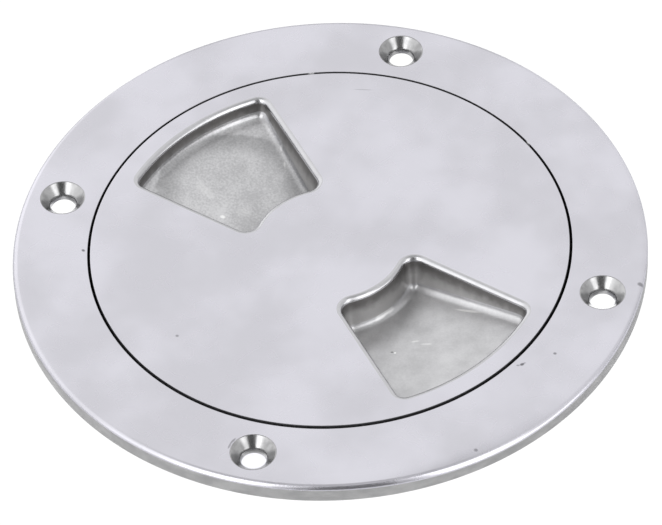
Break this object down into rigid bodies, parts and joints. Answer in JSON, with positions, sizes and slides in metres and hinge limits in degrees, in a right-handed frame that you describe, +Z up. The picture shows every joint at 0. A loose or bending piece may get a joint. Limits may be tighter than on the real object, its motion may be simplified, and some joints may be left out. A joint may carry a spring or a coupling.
{
  "type": "screw-in deck inspection cover",
  "caption": "Round stainless inspection cover: a flanged ring screwed to a deck and a flush lid with two finger pockets that unscrews from it on a coarse thread.",
  "frame": {"origin": "on the cover's axis, in the deck's plane that the ring's lip lies on", "axes": "+Z up out of the deck along the cover's axis; the four screw holes lie on X and Y"},
  "size_m": [0.1436, 0.1436, 0.0176],
  "materials": {
    "ring": "cast stainless steel, top polished with a soft cloudy haze, underside as cast",
    "lid": "cast stainless steel, top polished, pocket floors blasted, underside as cast",
    "o_ring": "matt black nitrile rubber"
  },
  "bodies": {
    "ring": {"ring": "ring"},
    "o_ring": {"o_ring": "o_ring"},
    "lid": {"lid": "lid"}
  },
  "joints": [
    {"name": "lid_rise", "type": "slide", "parent": "ring", "child": "o_ring", "axis": [0, 0, 1], "range_m": [0, 0.008]},
    {"name": "lid_turn", "type": "hinge", "parent": "o_ring", "child": "lid", "pos_m": [0, 0, 0], "axis": [0, 0, 1], "range_deg": [0, 720]}
  ],
  "couplings": [
    {"joint": "lid_rise", "follows": "lid_turn", "m_per_rad": 0.00063661}
  ]
}
